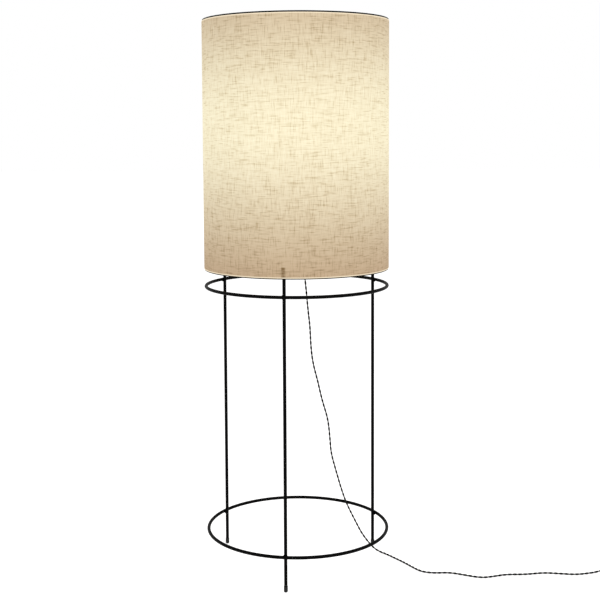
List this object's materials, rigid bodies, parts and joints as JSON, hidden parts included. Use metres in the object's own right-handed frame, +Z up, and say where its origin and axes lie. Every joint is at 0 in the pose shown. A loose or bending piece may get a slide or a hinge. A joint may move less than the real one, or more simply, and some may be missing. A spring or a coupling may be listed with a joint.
{
  "type": "column floor lamp",
  "caption": "Floor lamp: a tall drum shade in linen on a slim wire stand of rods and rings, with a free-hanging textile cord, foot switch, coil and plug.",
  "frame": {"origin": "on the floor, on the axis of the shade and rings", "axes": "+Z up, -Y to the front (the single front leg), +X to the right, where the cord runs"},
  "size_m": [1.1261, 0.5085, 1.33],
  "materials": {
    "black_steel": "satin black powder coat",
    "foot_plastic": "matt soft cap",
    "linen": "coarse natural linen weave",
    "liner": "translucent shade film",
    "holder_plastic": "satin black thermoplastic",
    "insert_ceramic": "unglazed steatite",
    "brass": "plain pressed brass",
    "bulb_glass": "opal white, lit",
    "bulb_metal": "rolled screw cap",
    "bulb_insulator": "black insulating glass",
    "bulb_core": "white light source column",
    "cord_textile": "black textile braid, two strands twisted",
    "switch_plastic": "black moulded plastic",
    "spring_steel": "zinc-plated steel",
    "plug_plastic": "black moulded soft plastic",
    "pin_metal": "nickel-plated brass"
  },
  "bodies": {
    "stand": {"leg_front": "black_steel", "foot_cap_front": "foot_plastic", "leg_rear_right": "black_steel", "foot_cap_rear_right": "foot_plastic", "leg_rear_left": "black_steel", "foot_cap_rear_left": "foot_plastic", "ring_top": "black_steel", "ring_bottom": "black_steel", "welds_top": "black_steel", "welds_bottom": "black_steel", "cord_lead": "cord_textile", "cord_link": "cord_textile", "cord_coil": "cord_textile", "cord_tail": "cord_textile", "switch_base": "switch_plastic", "switch_cover": "switch_plastic", "switch_sleeve_in": "switch_plastic", "switch_sleeve_out": "switch_plastic", "switch_terminals": "brass", "switch_spring": "spring_steel", "switch_screws": "spring_steel", "plug_body": "plug_plastic", "plug_relief": "plug_plastic", "plug_pin_sleeves": "plug_plastic", "plug_pins": "pin_metal"},
    "shade_unit": {"shade_linen": "linen", "shade_liner": "liner", "shade_hoop_bottom": "black_steel", "shade_hoop_top": "black_steel", "leg_socket_front": "black_steel", "leg_socket_rear_right": "black_steel", "leg_socket_rear_left": "black_steel", "carrier_arm_front": "black_steel", "carrier_arm_rear_right": "black_steel", "carrier_arm_rear_left": "black_steel", "carrier_hub": "black_steel", "lampholder_skirt": "holder_plastic", "lampholder_cap": "holder_plastic", "lampholder_insert": "insert_ceramic", "lampholder_screw_shell": "brass", "lampholder_contact": "brass", "ring_nut_upper": "holder_plastic", "ring_nut_lower": "holder_plastic", "cord_grip": "holder_plastic"},
    "bulb": {"bulb_glass": "bulb_glass", "bulb_cap": "bulb_metal", "bulb_insulator": "bulb_insulator", "bulb_tip": "bulb_metal", "bulb_column": "bulb_core"},
    "switch_button": {"switch_button": "switch_plastic", "switch_bridge": "brass"}
  },
  "joints": [
    {"name": "shade_lift", "type": "slide", "parent": "stand", "child": "shade_unit", "axis": [0, 0, 1], "range_m": [0, 0.03], "deforming": ["cord_lead"]},
    {"name": "bulb_unscrew", "type": "slide", "parent": "shade_unit", "child": "bulb", "axis": [0, 0, 1], "range_m": [0, 0.03]},
    {"name": "switch_press", "type": "slide", "parent": "stand", "child": "switch_button", "axis": [0, 0, -1], "range_m": [0, 0.003], "stiffness_N_per_m": 600, "springref_m": -0.002, "deforming": ["switch_spring"]}
  ]
}
